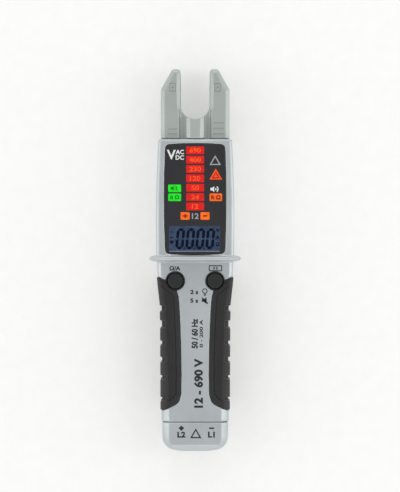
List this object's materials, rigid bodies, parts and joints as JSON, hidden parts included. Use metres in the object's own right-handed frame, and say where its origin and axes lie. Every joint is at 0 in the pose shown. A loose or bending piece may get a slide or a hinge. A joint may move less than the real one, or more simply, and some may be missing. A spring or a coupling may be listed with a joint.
{
  "type": "open-jaw electrical tester",
  "caption": "Handheld open-jaw electrical tester: forked head, dark display window, hand guard, rubber-gripped handle with buttons, battery door and an end cap with test sockets.",
  "frame": {"origin": "under the middle of the tester's outline, on the flat back it rests on", "axes": "+Y along the tester towards the fork's tips, +Z out of the face with the display and the buttons, +X across it to the right of someone reading the display"},
  "size_m": [0.0592, 0.245, 0.0374],
  "materials": {
    "silver_plastic": "fine satin texture, silver-grey paint",
    "fork_plastic": "fine spark-eroded texture, slightly darker grey",
    "grip_rubber": "matte overmoulded rubber",
    "button_rubber": "matte rubber keypad",
    "black_panel": "smoked polished window",
    "white_plastic": "white moulded diffuser",
    "black_plastic": "black moulded",
    "lcd_glass": "liquid crystal glass with polariser",
    "board_green": "green solder mask on glass epoxy",
    "chip_black": "black moulding compound",
    "ferrite": null,
    "copper": "enamelled copper winding",
    "brass": "turned brass, nickel flashed inside",
    "steel": "zinc-plated steel",
    "red_led": "tinted epoxy",
    "green_led": "tinted epoxy",
    "amber_led": "tinted epoxy",
    "clear_plastic": "clear polished lens",
    "resistor_blue": "lacquered ceramic",
    "battery_jacket": "shrink sleeve over steel can"
  },
  "bodies": {
    "case": {"front_shell": "silver_plastic", "rear_shell": "silver_plastic", "end_cap": "silver_plastic", "fork_front_shell": "fork_plastic", "fork_rear_shell": "fork_plastic", "display_window": "black_panel", "grip_front_left": "grip_rubber", "grip_front_right": "grip_rubber", "grip_rear_left": "grip_rubber", "grip_rear_right": "grip_rubber", "lcd_connector": "grip_rubber", "function_switch": "chip_black", "hold_switch": "chip_black", "measuring_chip": "chip_black", "main_board": "board_green", "light_guide": "black_plastic", "buzzer": "black_plastic", "lcd_panel": "lcd_glass", "lcd_backlight": "white_plastic", "torch_led": "white_plastic", "red_led_1": "red_led", "red_led_2": "red_led", "red_led_3": "red_led", "red_led_4": "red_led", "red_led_5": "red_led", "red_led_6": "red_led", "red_led_7": "red_led", "green_led_1": "green_led", "green_led_2": "green_led", "amber_led_1": "amber_led", "amber_led_2": "amber_led", "amber_led_3": "amber_led", "amber_led_4": "amber_led", "torch_lens": "clear_plastic", "jaw_core": "ferrite", "jaw_coil_left": "copper", "jaw_coil_right": "copper", "battery_spring_1": "steel", "battery_spring_2": "steel", "battery_contact_1": "steel", "battery_contact_2": "steel", "shell_screw_1": "steel", "shell_screw_2": "steel", "shell_screw_3": "steel", "shell_screw_4": "steel", "shell_screw_5": "steel", "shell_screw_6": "steel", "battery_1": "battery_jacket", "battery_2": "battery_jacket", "socket_l1": "brass", "socket_l2": "brass", "input_resistor_1": "resistor_blue", "input_resistor_2": "resistor_blue", "protection_disc_1": "resistor_blue", "protection_disc_2": "resistor_blue"},
    "function_button": {"function_button": "button_rubber"},
    "hold_button": {"hold_button": "button_rubber"},
    "battery_door": {"battery_door": "silver_plastic"},
    "battery_door_screw": {"battery_door_screw": "steel"}
  },
  "joints": [
    {"name": "function_button_press", "type": "slide", "parent": "case", "child": "function_button", "axis": [0, 0, -1], "range_m": [0, 0.001], "stiffness_N_per_m": 1500},
    {"name": "hold_button_press", "type": "slide", "parent": "case", "child": "hold_button", "axis": [0, 0, -1], "range_m": [0, 0.001], "stiffness_N_per_m": 1500},
    {"name": "battery_door_hinge", "type": "hinge", "parent": "case", "child": "battery_door", "pos_m": [0, -0.044, 0.0004], "axis": [1, 0, 0], "range_deg": [0, 60]},
    {"name": "battery_door_screw_turn", "type": "hinge", "parent": "battery_door", "child": "battery_door_screw", "pos_m": [0, -0.0994, 0.003], "axis": [0, 0, -1], "continuous": true}
  ]
}
